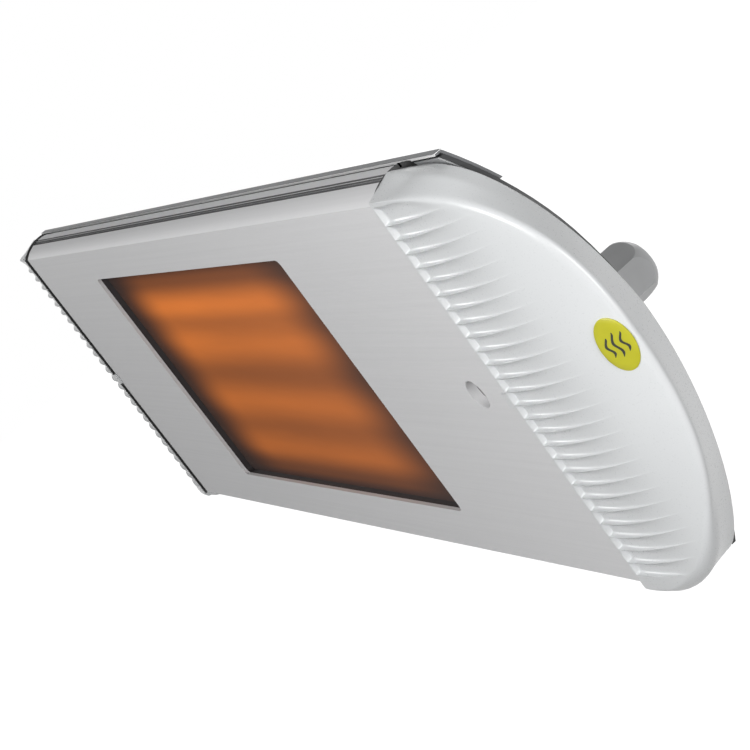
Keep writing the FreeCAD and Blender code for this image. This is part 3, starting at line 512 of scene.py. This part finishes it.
# End caps: a domed front with scooped flutes, a soft ridge and a side that narrows towards the back
endCap = {
    "edge": 276.0,                # where the cap starts, from the middle of the heater
    "proud": 1.2,
    "domeRadius": 90.0,
    "columns": (0, 0.4, 0.8, 1.2, 1.6, 2.0, 2.6, 3.5, 5, 7, 9.5, 12.5, 16, 20, 24.5, 29, 34, 39, 44, 49, 54,
                59, 64),          # across the dome, close together at the rim
    "middle": 100.5,              # height where both outlines reach furthest
    "ridge": {"reach": 66.6, "rise": 86.5, "fall": 104.5, "risePower": 2.7, "fallPower": 2.55, "taper": 0.0},
    "back": {"reach": 43.5, "rise": 88.5, "fall": 107.0, "risePower": 4.0, "fallPower": 6.0, "taper": 0.12},
    "backRadius": 211.9,
    "backDip": 1.6,               # the back outline is this much lower near the top
    "dipShares": (0.84, 0.98),    # shares of the rise over which it dips
    "ridgeRound": 3.2,
    "ridgeShare": 0.4,            # the most of the reach, and of the side, that the rounding takes
    "sideShare": 0.3,
    "roundSteps": 6,
    "bandSteps": 12,
    "edgeCrown": 4.2,             # how far the top swells between ridge and back, at the cap's edge
    "topCrown": 1.3,              # and further along
    "topShares": (0.80, 0.97),
    "crownRun": 17.0,
    "crownPeak": 0.6,             # where the swell is highest, as a share of the way to the back
    "sideCrown": 0.4,
    "swellPower": 3,              # how late the swell turns from sideways to up or down
    "toeCrown": 3.4,              # how far the toe swells underneath
    "toeShares": (0.66, 0.94),
    "toePeak": 0.3,
    "toeRound": 2.5,              # the front's rounded lower edge
    "fluteTop": 185.0,            # heights of the topmost crests and of the last one
    "firstCrest": 176.3,
    "lastCrest": 4.7,
    "fluteCount": 26,             # below the first crest
    "fluteDepth": 2.4,
    "fluteSlope": (0.52, 0.84),   # shares of a pitch where the slope ends and the ledge starts
    "fluteFade": (3.0, 47.0),     # from the cap's edge, where a flute starts to fade and has run out
    "ridgeFade": 9.0,             # it also runs out over this length before the ridge
    "rim": (0.5, 1.7),            # the plain rim, and where the flutes are fully sunk
    "fluteSteps": 16,
    "edgeSteps": 22,              # rows drawn close together where the outline turns in
    "edgePower": 2.4,
    "tab": (7.0, 4.3, 2.0),       # height, length and wall of the tab across the shadow gap
    "tabSink": 0.4,               # how far it runs into the cap
    "weld": 0.002,                # corners closer than this become one
    "crease": 50,                 # degrees: edges sharper than this stay sharp
}


def reachAt(outline, share):
    # how far an outline reaches at a share of its rise (above 0) or of its fall (below 0)
    power = outline["risePower"] if share > 0 else outline["fallPower"]
    drop = max(0.0, -share) * outline["fall"]
    full = outline["reach"] - outline["taper"] * drop
    return full * (1 - abs(share) ** power) ** (1 / power)


def levelAt(outline, middle, share):
    return middle + share * (outline["rise"] if share > 0 else outline["fall"])


def fluteCrests(settings):
    first = settings["firstCrest"]
    pitch = (first - settings["lastCrest"]) / settings["fluteCount"]
    return [settings["fluteTop"]] + [first - pitch * k for k in range(settings["fluteCount"] + 1)]


def fluteSink(settings, x, height, room):
    # room is how far the ridge's rounding still is
    crests = fluteCrests(settings)
    if not crests[-1] < height < crests[0]:
        return 0.0
    above = min(crest for crest in crests if crest >= height)
    below = max(crest for crest in crests if crest < height)
    place = (above - height) / (above - below)
    slopeEnd, ledge = settings["fluteSlope"]
    scoop = 1.0
    if place < slopeEnd:
        scoop = 1 - (1 - place / slopeEnd) ** 2
    if place > ledge:
        scoop = math.sqrt(max(0.0, 1 - ((place - ledge) / (1 - ledge)) ** 2))
    fade = 1 - ease(*settings["fluteFade"], x)
    ends = ease(*settings["rim"], x) * ease(0, settings["ridgeFade"], room)
    return settings["fluteDepth"] * scoop * fade * ends


def capRow(settings, share):
    # one closed loop of (x past the edge, depth, height), from the edge over the dome and round the back
    ridge = settings["ridge"]
    back = settings["back"]
    radius = settings["domeRadius"]
    height = levelAt(ridge, settings["middle"], share)
    reach = reachAt(ridge, share)
    toe = settings["toeRound"]
    under = max(0.0, toe - (height - settings["middle"] + ridge["fall"]))
    tuck = toe - math.sqrt(toe ** 2 - under ** 2)
    rounding = min(settings["ridgeRound"], settings["ridgeShare"] * reach)
    flat = reach - rounding

    def dome(x, sunk):
        depth = radius - settings["proud"] - math.sqrt(radius ** 2 - x ** 2)
        return Vector((x, depth + tuck + sunk, height))

    points = []
    for column in settings["columns"]:
        x = flat * column / settings["columns"][-1]
        points.append(dome(x, fluteSink(settings, x, height, flat - x)))
    corner = dome(reach, 0)
    dip = settings["backDip"] * ease(*settings["dipShares"], share)
    far = backPoint(0, levelAt(back, settings["middle"], share) - dip, settings["backRadius"])
    end = Vector((reachAt(back, share), far.x, far.y))
    sideways = max(0.0, 1 - abs(share) ** settings["swellPower"])
    outward = Vector((sideways, 0, share * abs(share))).normalized()
    along = ease(0, settings["crownRun"], reach)
    topCrown = settings["edgeCrown"] + (settings["topCrown"] - settings["edgeCrown"]) * along
    swell = settings["sideCrown"] + topCrown * ease(*settings["topShares"], share)
    swell += settings["toeCrown"] * ease(*settings["toeShares"], -share)
    peak = settings["crownPeak"] if share > 0 else settings["toePeak"]

    def band(t):
        slope = t / peak if t < peak else (1 - t) / (1 - peak)
        lift = slope * (2 - slope) if share < 0 and t < peak else slope
        return corner.lerp(end, t) + outward * swell * lift

    front = points[-1]
    first = min(settings["sideShare"], rounding / (end - corner).length)
    start = band(first)
    for step in range(1, settings["roundSteps"] + 1):
        t = step / settings["roundSteps"]
        points.append(front * (1 - t) ** 2 + corner * 2 * t * (1 - t) + start * t ** 2)
    bandStart = len(points) - 1
    for step in range(1, settings["bandSteps"] + 1):
        points.append(band(first + (1 - first) * step / settings["bandSteps"]))
    points.append(Vector((0, end.y, end.z)))
    return points, bandStart


def capShares(settings):
    # the rows, as shares of the rise and fall: close together at both ends, and the same in each flute
    ridge = settings["ridge"]
    middle = settings["middle"]
    crests = fluteCrests(settings)
    top = middle + ridge["rise"]
    bottom = middle - ridge["fall"]
    steps = settings["edgeSteps"]
    power = settings["edgePower"]
    count = settings["fluteSteps"]
    turns = [(1 - math.cos(math.pi * k / count)) / 2 for k in range(count)]
    heights = [top - (top - crests[0]) * (k / steps) ** power for k in range(steps)]
    for above, below in zip(crests, crests[1:]):
        heights += [above + (below - above) * turn for turn in turns]
    heights += [bottom + (crests[-1] - bottom) * (1 - k / steps) ** power for k in range(steps + 1)]
    return [(h - middle) / (ridge["rise"] if h > middle else ridge["fall"]) for h in heights]


def flutedCap(settings, side, name, node, material):
    rows = []
    for share in capShares(settings):
        loop, bandStart = capRow(settings, share)
        rows.append(loop)
    width = len(rows[0])
    corners = [at(side * (settings["edge"] + p.x), p.y, p.z) for loop in rows for p in loop]
    faces = loopFaces(0, width, len(rows))
    last = (len(rows) - 1) * width
    faces.append(tuple(range(bandStart, width - 1)))
    faces.append(tuple(range(last + bandStart, last + width - 1)))
    # the tab that bridges the shadow gap at mid-height
    tall, long, wall = settings["tab"]
    front = -settings["proud"]
    tabMiddle = panel["height"] / 2
    base = len(corners)
    for x in (-long, settings["tabSink"]):
        for depth, rise in ((front, -tall / 2), (wall, -tall / 2), (wall, tall / 2), (front, tall / 2)):
            corners.append(at(side * (settings["edge"] + x), depth, tabMiddle + rise))
    faces += barFaces(base, 4)
    piece = meshPiece(name, corners, faces, material)
    bm = bmesh.new()
    bm.from_mesh(piece.data)
    bmesh.ops.remove_doubles(bm, verts=bm.verts, dist=settings["weld"] * mm)
    bmesh.ops.dissolve_degenerate(bm, edges=bm.edges, dist=settings["weld"] / 2 * mm)
    bmesh.ops.recalc_face_normals(bm, faces=bm.faces)
    bm.to_mesh(piece.data)
    bm.free()
    smooth(piece, settings["crease"])
    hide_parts(node)
    return piece


# Collars: black bands in the shadow gaps, raised nearly flush and flanged up the caps' ends: painted shade
# for the deep gaps
collar = {
    "sunk": 0.9,              # below the panel's surface
    "flange": 0.4,            # thickness of the flange against the cap
    "flangeRise": 0.9,        # above the panel
    "backShares": (0.8, 0.65, 0.5, 0.35, 0.2),   # of the panel's height, for the points down its back
    "crease": 30,
}


def gapShadeCollar(settings, side, name, node, material):
    corners = []
    faces = []
    edge = endCap["edge"]
    # painted shade: the band sits just under the panel's surface and its flange rises past it, so its black
    # fills the gap's shade
    bands = ((settings["sunk"], panel["halfLength"] - touch, edge + touch),
             (-settings["flangeRise"], edge - settings["flange"], edge + touch / 2))
    for inset, near, far in bands:
        section = panelOutline(panel, inset, False)
        section += [backPoint(inset, panel["height"] * share) for share in settings["backShares"]]
        faces += barFaces(len(corners), len(section))
        corners += [at(side * x, p.x, p.y) for x in (near, far) for p in section]
    piece = meshPiece(name, corners, faces, material)
    smooth(piece, settings["crease"])
    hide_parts(node)
    return piece


# Visor lip highlight: a white strip along the front of the visor's lip and across its ends, a painted
# highlight for the light its edge catches
lipHighlightSizes = {
    "half": 297.5,
    "tall": 0.95,
    "proud": 0.25,
    "lip": 1.2,               # thickness of the visor's lip
    "backRise": 3.6,          # of the visor's outside over the panel's back curve
}


def paintedLipHighlight(settings, material):
    low, high = [Vector(corner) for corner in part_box("top_visor")]
    top = (high.z - panelFoot.z) / mm
    front = (low.y - panelFoot.y) / mm
    back = backPoint(-settings["backRise"], top).x
    half = settings["half"]
    proud = settings["proud"]
    lipBottom = top - settings["lip"]
    heights = (lipBottom, lipBottom + settings["tall"])
    boxes = [((-half - proud, half + proud), (front - proud, front + touch))]
    for side in (1, -1):
        ends = sorted((side * (half - touch), side * (half + proud)))
        boxes.append((ends, (front, back)))
    corners = []
    faces = []
    for xs, (near, far) in boxes:
        faces += barFaces(len(corners), 4)
        for x in xs:
            corners += [at(x, near, heights[0]), at(x, near, heights[1])]
            corners += [at(x, far, heights[1]), at(x, far, heights[0])]
    return meshPiece("visor_lip_painted_highlight", corners, faces, material)


# Hood light: pale sheets on the inner face of the shell where it shows past the caps, under the visor,
# painted light for what the caps throw onto it
hoodLightSheet = {
    "start": 276.5,
    "heights": (168.0, 188.0),
    "endCentre": (201.39, 137.5),     # x and height of the centre of the shell's rounded end
    "endRadius": 108.8,
    "insets": (-0.1, 0.4),            # from the panel's back curve
    "steps": 10,
    "crease": 30,
}


def paintedHoodLight(settings, material):
    low, high = settings["heights"]
    levels = [low + (high - low) * i / settings["steps"] for i in range(settings["steps"] + 1)]
    outer, inner = settings["insets"]
    section = [backPoint(outer, level) for level in levels]
    section += [backPoint(inner, level) for level in reversed(levels)]
    centreX, centreHeight = settings["endCentre"]
    corners = []
    faces = []
    for side in (1, -1):
        faces += barFaces(len(corners), len(section))
        corners += [at(side * settings["start"], p.x, p.y) for p in section]
        for p in section:
            reach = math.sqrt(settings["endRadius"] ** 2 - (p.y - centreHeight) ** 2)
            corners.append(at(side * (centreX + reach), p.x, p.y))
    piece = meshPiece("hood_painted_light", corners, faces, material)
    smooth(piece, settings["crease"])
    return piece


# Badge: a domed oval of enamel, bent to the cap
badge = {
    "lean": 60.4,             # along the cap from its edge, on the dome
    "height": 102.0,
    "halfWidth": 6.9,
    "halfHeight": 11.4,
    "skin": 90.72,            # radius of the badge's face about the dome's axis
    "rings": ((0.35, 0.0), (0.7, 0.0), (0.94, 0.05), (1.0, 0.3), (1.0, 0.8)),   # share of the oval, depth
    "steps": 64,
    "crease": 40,
}


def onDome(settings, along, radius, rise):
    turn = math.asin(settings["lean"] / endCap["domeRadius"]) + along / settings["skin"]
    depth = endCap["domeRadius"] - endCap["proud"] - radius * math.cos(turn)
    return at(endCap["edge"] + radius * math.sin(turn), depth, settings["height"] + rise)


def enamelBadge(settings, material):
    steps = settings["steps"]
    corners = [onDome(settings, 0, settings["skin"], 0)]
    for share, sunk in settings["rings"]:
        for p in circle((0, 0), share, steps):
            corners.append(onDome(settings, p.x * settings["halfWidth"], settings["skin"] - sunk,
                                  p.y * settings["halfHeight"]))
    faces = [(0, 1 + i, 1 + (i + 1) % steps) for i in range(steps)]
    faces += loopFaces(1, steps, len(settings["rings"]))
    faces.append(tuple(range(len(corners) - steps, len(corners))))
    piece = meshPiece("enamel_badge", corners, faces, material)
    smooth(piece, settings["crease"])
    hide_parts("badge")
    return piece


# Badge print: three rising heat waves, dark on the enamel
badgeMark = {
    "thickness": 0.12,
    "sunk": 0.05,
    "length": 10.5,
    "shorter": 2.2,           # by which the outer waves are shorter
    "spacing": 3.1,
    "width": 1.0,
    "tipShare": 0.25,         # of the width, at a wave's tips
    "tipSlope": 6.0,
    "sway": 0.8,
    "waves": 1.25,
    "steps": 28,
}


def heatWaves(settings, material):
    corners = []
    faces = []
    steps = settings["steps"]
    bottom = badge["skin"] - settings["sunk"]
    top = badge["skin"] + settings["thickness"]
    for line in (-1, 0, 1):
        base = len(corners)
        length = settings["length"] - settings["shorter"] * abs(line)
        for step in range(steps + 1):
            share = step / steps
            middle = line * settings["spacing"]
            middle += settings["sway"] * math.sin(2 * math.pi * settings["waves"] * share)
            tip = settings["tipShare"] + settings["tipSlope"] * min(share, 1 - share)
            half = settings["width"] / 2 * min(1.0, tip)
            for edge, radius in ((-half, bottom), (half, bottom), (half, top), (-half, top)):
                corners.append(onDome(badge, middle + edge, radius, (share - 0.5) * length))
        faces += loopFaces(base, 4, steps + 1)
        faces += [tuple(range(base, base + 4)), tuple(range(len(corners) - 4, len(corners)))]
    return meshPiece("badge_heat_waves", corners, faces, material)


# Receiver: the bore behind the panel's hole with the dark lens at its end
receiver = {
    "radius": 6.9,
    "bore": 6.7,
    "front": 0.3,
    "lensDepth": 4.2,
    "lensRings": ((0.72, 0.3), (0.36, 0.8)),   # share of the bore, and how far forward the lens is there
    "floor": 0.6,
    "steps": 48,
    "crease": 40,
}


def receiverBore(settings, wallMaterial, lensMaterial):
    steps = settings["steps"]
    bore = settings["bore"]
    lens = settings["lensDepth"]
    rings = [(settings["radius"], lens + settings["floor"]), (settings["radius"], settings["front"]),
             (bore, settings["front"]), (bore, lens)]
    wallFaces = (len(rings) - 1) * steps
    rings += [(share * bore, lens - forward) for share, forward in settings["lensRings"]]
    corners = []
    for radius, depth in rings:
        corners += [at(p.x, depth, p.y) for p in circle(panel["receiver"], radius, steps)]
    faces = loopFaces(0, steps, len(rings))
    faces += [tuple(range(len(corners) - steps, len(corners))), tuple(range(steps))]
    piece = meshPiece("receiver_bore", corners, faces, wallMaterial)
    piece.data.materials.append(lensMaterial)
    for face in piece.data.polygons:
        face.material_index = 0 if face.index < wallFaces else 1
    smooth(piece, settings["crease"])
    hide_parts("receiver_lens")
    return piece


# finishes for the record's slots
finishes = {
    "front_panel": anodisedAluminium(),
    "shell_paint": powderCoat("satinPowderCoat", "#38393a", "#3f4041"),
    "bracket_paint": powderCoat("bracketPowderCoat", "#333334", "#39393a"),
    "cap_plastic": mouldedAbs(),
    # the collars' black also serves as painted shade in the gaps beside the caps
    "collar_plastic": mouldedNylon("collarNylonGapShade", "#1c1c1c", "#222222", 0.5),
    "badge_print": enamel("badgeEnamel", "#b5b117", "#bdb91e"),
    "zinc_steel": platedSteel("zincSheet", "#a9abad", "#bcbec0"),
    "fastener_steel": platedSteel("zincFastener", "#9fa1a3", "#b4b6b8"),
    # the window glass carries a painted glow for the lamps behind it
    "window_glass": ceramicGlassPaintedGlow(glow, panel["window"]),
    "quartz": glowing("hotQuartz", "#ff8a30", 0.7),
    "filament": glowing("hotFilament", "#ffb050", 1.5),
    "reflector": polishedReflector(),
    "ceramic": steatite("firedSteatite", "#cfc8b8", "#dcd6c8"),
    "gasket_rubber": mouldedNylon("gasketSilicone", "#262122", "#2c2728", 0.62),
    "terminal_plastic": steatite("terminalMoulding", "#cfcab9", "#dad5c6"),
    "lead_sleeve": wovenSleeve(),
    "receiver_plastic": mouldedNylon("smokedPolycarbonate", "#3a3637", "#423e3f", 0.3),
    "board": enamel("boardLacquer", "#1f4a2c", "#265a35"),
    "gland_plastic": mouldedNylon("glandNylon", "#b8b9ba", "#c0c1c2", 0.36),
    "friction_fibre": mouldedNylon("frictionFibre", "#3a332c", "#4a4239", 0.8),
}
for part in frame["record"]["subparts"]:
    for slot in nodes[part["node"]].material_slots:
        slot.material = finishes[part["material_slot"]]
# painted reflection: the visor takes a lighter copy of the shell's paint, for the bright room it reflects
# along its top
visorSheenPaint = powderCoat("visorPaintedSheen", "#6c6d6f", "#757678")
for slot in nodes["top_visor"].material_slots:
    slot.material = visorSheenPaint
print("finishes given:", len(finishes))

# painted shade: the grooves along the top edge get a darker grey that stands for the shade in them
ribbedPanel(panel, finishes["front_panel"], powderCoat("groovePaintedShade", "#69696a", "#717172"))
print("front panel ribbed")
for side, word in ((1, "right"), (-1, "left")):
    flutedCap(endCap, side, word + "_fluted_cap", word + "_end_cap", finishes["cap_plastic"])
    gapShadeCollar(collar, side, word + "_gap_shade_collar", word + "_cap_collar", finishes["collar_plastic"])
print("caps fluted, collars made")
enamelBadge(badge, finishes["badge_print"])
heatWaves(badgeMark, enamel("badgeInk", "#20221c", "#2a2c24"))
receiverBore(receiver, finishes["front_panel"], finishes["receiver_plastic"])
# painted highlight: the lip's edge gets a white strip for the light it catches
paintedLipHighlight(lipHighlightSizes, enamel("lipHighlightPaint", "#eeeeee", "#f2f2f2"))
# painted light: a pale sheet inside each end of the hood, for the light reflected onto the shell's dark
# inner face
paintedHoodLight(hoodLightSheet, powderCoat("hoodPaintedLight", "#b4b5b6", "#bcbdbe"))
print("badge, receiver, visor highlight and hood light made")

# Studio
studio = {
    "floorDrop": 0.9,          # metres below the heater
    "floorSize": 12.0,
    "floorColour": "#4a4a4a",
    "floorRoughness": 0.9,
    "floorGlow": 1.25,
    "floorShade": 0.12,        # how much of the floor is lit, so that it keeps the shadow
    "ambient": 0.25,
    "gloss": 1.0,              # how bright reflections find the room
    "ceiling": 0.55,           # share of that overhead
    "ceilingRise": (0.05, 0.6),
    "lights": (
        {"name": "keyLight", "place": (0.80, -0.62, 0.34), "aim": (0.22, -0.10, 0.0),
         "size": 0.4, "power": 5.1},
        {"name": "sideLight", "place": (1.60, 0.20, 0.05), "aim": (0.30, -0.08, 0.0),
         "size": 0.6, "power": 7.5},
        {"name": "backFill", "place": (-0.9, 1.2, 0.6), "aim": (0, 0, 0),
         "size": 1.0, "power": 4.0},
        {"name": "glintCard", "place": (-0.99, -0.72, 0.50), "aim": (0.3, -0.1, 0.0),
         "size": 0.6, "power": 7.0, "onlyGlints": True},
    ),
}


def anyRay(tree, *kinds):
    # one for rays of any of these kinds
    path = addNode(tree, "ShaderNodeLightPath").outputs
    found = path[kinds[0]]
    for kind in kinds[1:]:
        either = addNode(tree, "ShaderNodeMath", {"operation": "MAXIMUM"}, {0: found, 1: path[kind]})
        found = either.outputs["Value"]
    return found


def aimed(settings):
    look = Vector(settings["aim"]) - Vector(settings["place"])
    return Matrix.Translation(settings["place"]) @ look.to_track_quat("-Z", "Y").to_matrix().to_4x4()


def whiteRoom(settings):
    # white to the camera, bright in reflections, dimmer as a light and towards the ceiling
    world = bpy.data.worlds.new("studio")
    scene.world = world
    world.use_nodes = True
    tree = world.node_tree
    background = tree.nodes["Background"]
    background.inputs["Color"].default_value = (1, 1, 1, 1)
    direction = addNode(tree, "ShaderNodeTexCoord").outputs["Generated"]
    split = addNode(tree, "ShaderNodeSeparateXYZ", links={"Vector": direction})
    low, high = settings["ceilingRise"]
    overhead = addNode(tree, "ShaderNodeMapRange",
                       {"From Min": low, "From Max": high, "To Min": 1.0, "To Max": settings["ceiling"]},
                       {"Value": split.outputs["Z"]})
    room = addNode(tree, "ShaderNodeMapRange",
                   {"To Min": settings["ambient"], "To Max": settings["gloss"]},
                   {"Value": anyRay(tree, "Is Glossy Ray", "Is Transmission Ray")})
    dimmed = addNode(tree, "ShaderNodeMath", {"operation": "MULTIPLY"},
                     {0: room.outputs["Result"], 1: overhead.outputs["Result"]})
    level = addNode(tree, "ShaderNodeMapRange", {"To Max": 1.0},
                    {"Value": anyRay(tree, "Is Camera Ray"), "To Min": dimmed.outputs["Value"]})
    tree.links.new(level.outputs["Result"], background.inputs["Strength"])


def paperFloor(settings):
    # matt paper: white to the camera and in reflections, with a little of the lamps' shadows
    material, tree, shader = startMaterial("paperFloor", {
        "Base Color": settings["floorColour"], "Roughness": settings["floorRoughness"]})
    lit = addNode(tree, "ShaderNodeEmission", {"Color": (1, 1, 1, 1), "Strength": settings["floorGlow"]})
    seen = anyRay(tree, "Is Camera Ray", "Is Glossy Ray", "Is Transmission Ray")
    share = addNode(tree, "ShaderNodeMath", {"operation": "MULTIPLY", 1: 1 - settings["floorShade"]},
                    {0: seen})
    mix = addNode(tree, "ShaderNodeMixShader", links={
        "Fac": share.outputs["Value"], 1: shader.outputs["BSDF"], 2: lit.outputs["Emission"]})
    tree.links.new(mix.outputs["Shader"], tree.nodes["Material Output"].inputs["Surface"])
    half = settings["floorSize"] / 2
    z = cadBox[0][2] - settings["floorDrop"]
    corners = [(x * half, y * half, z) for x, y in ((-1, -1), (1, -1), (1, 1), (-1, 1))]
    mesh = bpy.data.meshes.new("floor")
    mesh.from_pydata(corners, [], [(0, 1, 2, 3)])
    mesh.materials.append(material)
    floor = bpy.data.objects.new("floor", mesh)
    scene.collection.objects.link(floor)


def softLights(settings):
    for light in settings["lights"]:
        data = bpy.data.lights.new(light["name"], "AREA")
        data.shape = "DISK"
        data.size = light["size"]
        data.energy = light["power"]
        lamp = bpy.data.objects.new(light["name"], data)
        lamp.matrix_world = aimed(light)
        lamp.visible_diffuse = not light.get("onlyGlints", False)
        scene.collection.objects.link(lamp)


camera = {
    "place": (0.9953, -0.3942, 0.2489),   # metres, beside the right-hand end and a little above
    "aim": (0.2, -0.1415, 0.0314),
    "roll": -36.42,                       # degrees: the heater is shown tipped in the picture
    "lens": 100.8,
    "sensor": 36.0,
}


def placeCamera(settings):
    data = bpy.data.cameras.new("photoCamera")
    data.lens = settings["lens"]
    data.sensor_width = settings["sensor"]
    data.dof.use_dof = False
    photoCamera = bpy.data.objects.new("photoCamera", data)
    scene.collection.objects.link(photoCamera)
    roll = Matrix.Rotation(math.radians(settings["roll"]), 4, "Z")
    photoCamera.matrix_world = aimed(settings) @ roll
    scene.camera = photoCamera


whiteRoom(studio)
paperFloor(studio)
softLights(studio)
placeCamera(camera)
scene.view_settings.view_transform = "Standard"
print("studio and camera placed")
